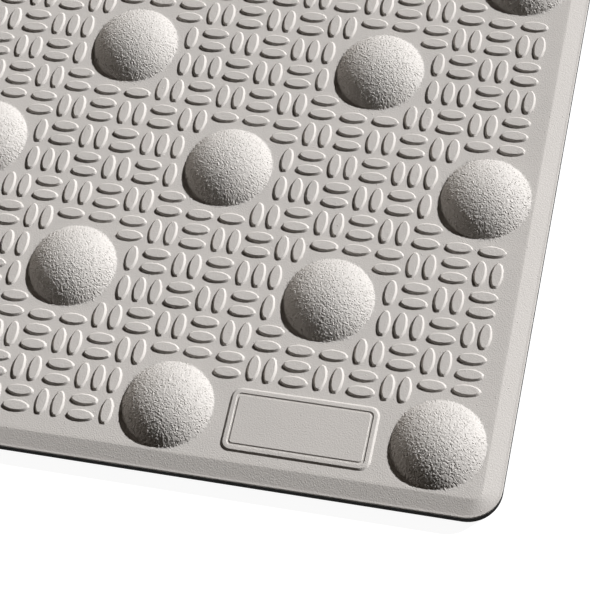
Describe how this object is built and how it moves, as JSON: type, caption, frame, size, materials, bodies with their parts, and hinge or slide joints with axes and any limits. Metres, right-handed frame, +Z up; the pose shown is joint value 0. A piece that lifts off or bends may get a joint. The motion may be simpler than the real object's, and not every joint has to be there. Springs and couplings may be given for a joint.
{
  "type": "anti-fatigue mat",
  "caption": "Rectangular cushioned standing mat with a sloping border, staggered rows of raised massage domes and a basket-weave tread.",
  "frame": {"origin": "centre of the underside, on the floor", "axes": "+X along the long side, to the right seen from the front; +Y from front to back; +Z up"},
  "size_m": [0.9144, 0.6096, 0.02],
  "materials": {
    "top_rubber": "satin moulded, fine grain, light warm grey",
    "dome_rubber": "matte, coarse moulded grain, light warm grey",
    "core_foam": "closed-cell foam, mid grey",
    "base_rubber": "matte black, non-slip"
  },
  "bodies": {
    "root": {"base_tray": "base_rubber", "foam_core": "core_foam", "top_sheet": "top_rubber", "dome_01": "dome_rubber", "dome_02": "dome_rubber", "dome_03": "dome_rubber", "dome_04": "dome_rubber", "dome_05": "dome_rubber", "dome_06": "dome_rubber", "dome_07": "dome_rubber", "dome_08": "dome_rubber", "dome_09": "dome_rubber", "dome_10": "dome_rubber", "dome_11": "dome_rubber", "dome_12": "dome_rubber", "dome_13": "dome_rubber", "dome_14": "dome_rubber", "dome_15": "dome_rubber", "dome_16": "dome_rubber", "dome_17": "dome_rubber", "dome_18": "dome_rubber", "dome_19": "dome_rubber", "dome_20": "dome_rubber", "dome_21": "dome_rubber", "dome_22": "dome_rubber", "dome_23": "dome_rubber", "dome_24": "dome_rubber", "dome_25": "dome_rubber", "dome_26": "dome_rubber", "dome_27": "dome_rubber", "dome_28": "dome_rubber", "dome_29": "dome_rubber", "dome_30": "dome_rubber", "dome_31": "dome_rubber", "dome_32": "dome_rubber", "dome_33": "dome_rubber", "dome_34": "dome_rubber", "dome_35": "dome_rubber", "dome_36": "dome_rubber", "dome_37": "dome_rubber", "dome_38": "dome_rubber", "dome_39": "dome_rubber", "dome_40": "dome_rubber", "dome_41": "dome_rubber", "dome_42": "dome_rubber", "dome_43": "dome_rubber", "dome_44": "dome_rubber", "dome_45": "dome_rubber", "dome_46": "dome_rubber", "dome_47": "dome_rubber", "dome_48": "dome_rubber"}
  },
  "joints": []
}
